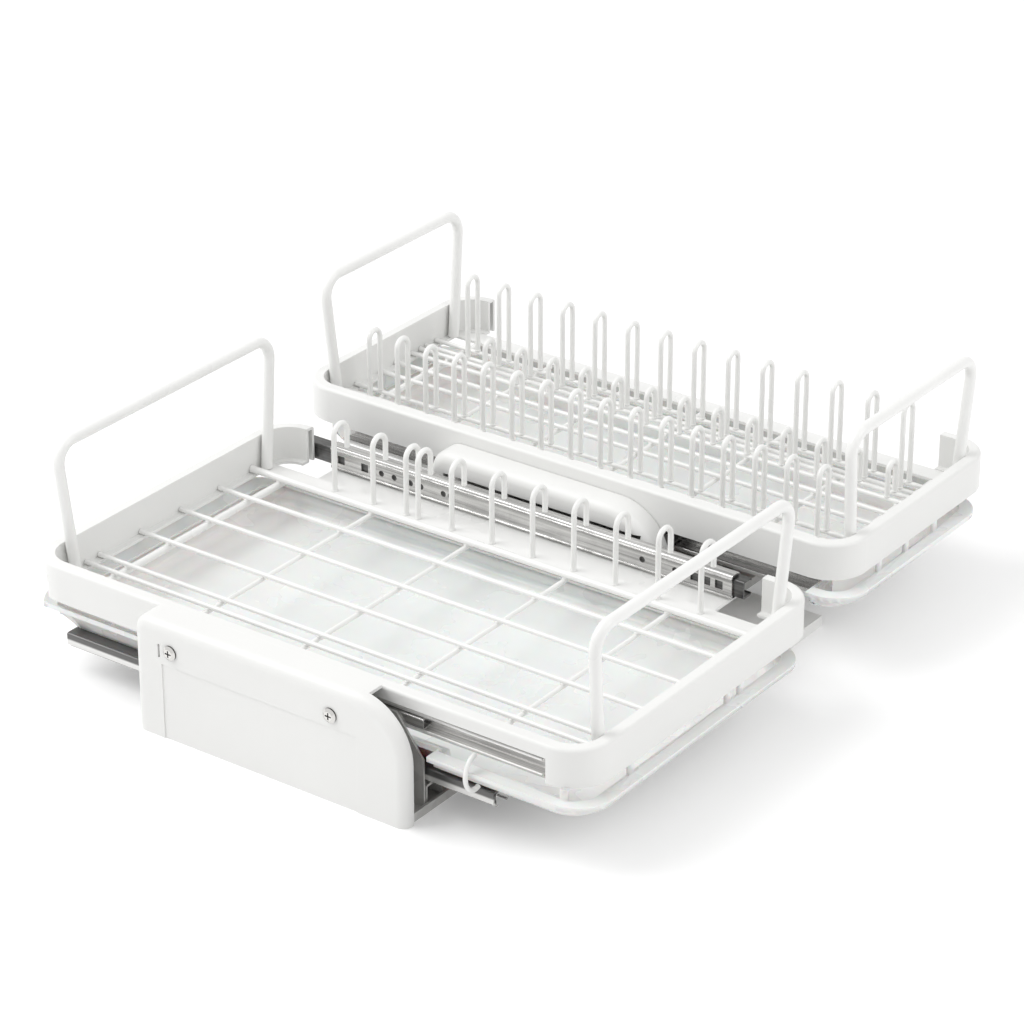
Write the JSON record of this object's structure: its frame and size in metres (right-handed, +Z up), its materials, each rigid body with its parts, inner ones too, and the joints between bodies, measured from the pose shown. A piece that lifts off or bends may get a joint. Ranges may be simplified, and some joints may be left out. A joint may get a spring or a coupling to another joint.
{
  "type": "pull-out dish rack",
  "caption": "Cabinet dish rack with side-by-side pull-out wire trays on telescopic slides, plate prongs, lift handles and drip trays under a moulded rim.",
  "frame": {"origin": "middle of the base channel's underside, on the cabinet floor", "axes": "+X the way both trays draw out, +Y from the deep tray towards the plate tray, +Z up"},
  "size_m": [0.4686, 0.5225, 0.1664],
  "materials": {
    "white_plastic": "satin moulded",
    "drip_plastic": "translucent white, smooth",
    "white_coated_steel": "white powder coat",
    "zinc_steel": "bright zinc",
    "screw_steel": "nickel"
  },
  "bodies": {
    "base": {"base_channel": "zinc_steel", "centre_plate": "white_coated_steel", "cover_screws": "screw_steel", "front_bracket_core": "zinc_steel", "front_bracket_cover": "white_plastic", "front_low_fixed_rail": "zinc_steel", "front_low_riser": "zinc_steel", "front_tray_front_fixed_rail": "zinc_steel", "front_tray_rear_fixed_rail": "zinc_steel", "middle_bracket_core": "zinc_steel", "middle_bracket_cover": "white_plastic", "rear_bracket_core": "zinc_steel", "rear_bracket_cover": "white_plastic", "rear_low_fixed_rail": "zinc_steel", "rear_low_riser": "zinc_steel", "rear_tray_front_fixed_rail": "zinc_steel", "rear_tray_rear_fixed_rail": "zinc_steel"},
    "front_tray": {"front_drip_tray": "drip_plastic", "front_low_top_rail": "zinc_steel", "front_tray_band": "white_plastic", "front_tray_cross_bars": "white_coated_steel", "front_tray_edge_strip": "white_coated_steel", "front_tray_front_rail": "zinc_steel", "front_tray_hooks": "white_coated_steel", "front_tray_left_handle": "white_coated_steel", "front_tray_long_wires": "white_coated_steel", "front_tray_rear_rail": "zinc_steel", "front_tray_right_handle": "white_coated_steel"},
    "front_slide_middle": {"front_low_mid_rail": "zinc_steel", "front_tray_front_mid_rail": "zinc_steel", "front_tray_rear_mid_rail": "zinc_steel"},
    "rear_tray": {"rear_drip_tray": "drip_plastic", "rear_low_top_rail": "zinc_steel", "rear_tray_band": "white_plastic", "rear_tray_cross_bars": "white_coated_steel", "rear_tray_edge_strip": "white_coated_steel", "rear_tray_front_hanger": "zinc_steel", "rear_tray_front_prongs": "white_coated_steel", "rear_tray_front_rail": "zinc_steel", "rear_tray_left_handle": "white_coated_steel", "rear_tray_long_wires": "white_coated_steel", "rear_tray_rear_hanger": "zinc_steel", "rear_tray_rear_rail": "zinc_steel", "rear_tray_right_handle": "white_coated_steel", "rear_tray_short_prongs": "white_coated_steel", "rear_tray_tall_prongs": "white_coated_steel"},
    "rear_slide_middle": {"rear_low_mid_rail": "zinc_steel", "rear_tray_front_mid_rail": "zinc_steel", "rear_tray_rear_mid_rail": "zinc_steel"}
  },
  "joints": [
    {"name": "front_tray_slide", "type": "slide", "parent": "base", "child": "front_tray", "axis": [1, 0, 0], "range_m": [0, 0.32]},
    {"name": "front_middle_slide", "type": "slide", "parent": "base", "child": "front_slide_middle", "axis": [1, 0, 0], "range_m": [0, 0.16]},
    {"name": "rear_tray_slide", "type": "slide", "parent": "base", "child": "rear_tray", "axis": [1, 0, 0], "range_m": [0, 0.32]},
    {"name": "rear_middle_slide", "type": "slide", "parent": "base", "child": "rear_slide_middle", "axis": [1, 0, 0], "range_m": [0, 0.16]}
  ],
  "couplings": [
    {"joint": "front_middle_slide", "follows": "front_tray_slide", "ratio": 0.5},
    {"joint": "rear_middle_slide", "follows": "rear_tray_slide", "ratio": 0.5}
  ]
}
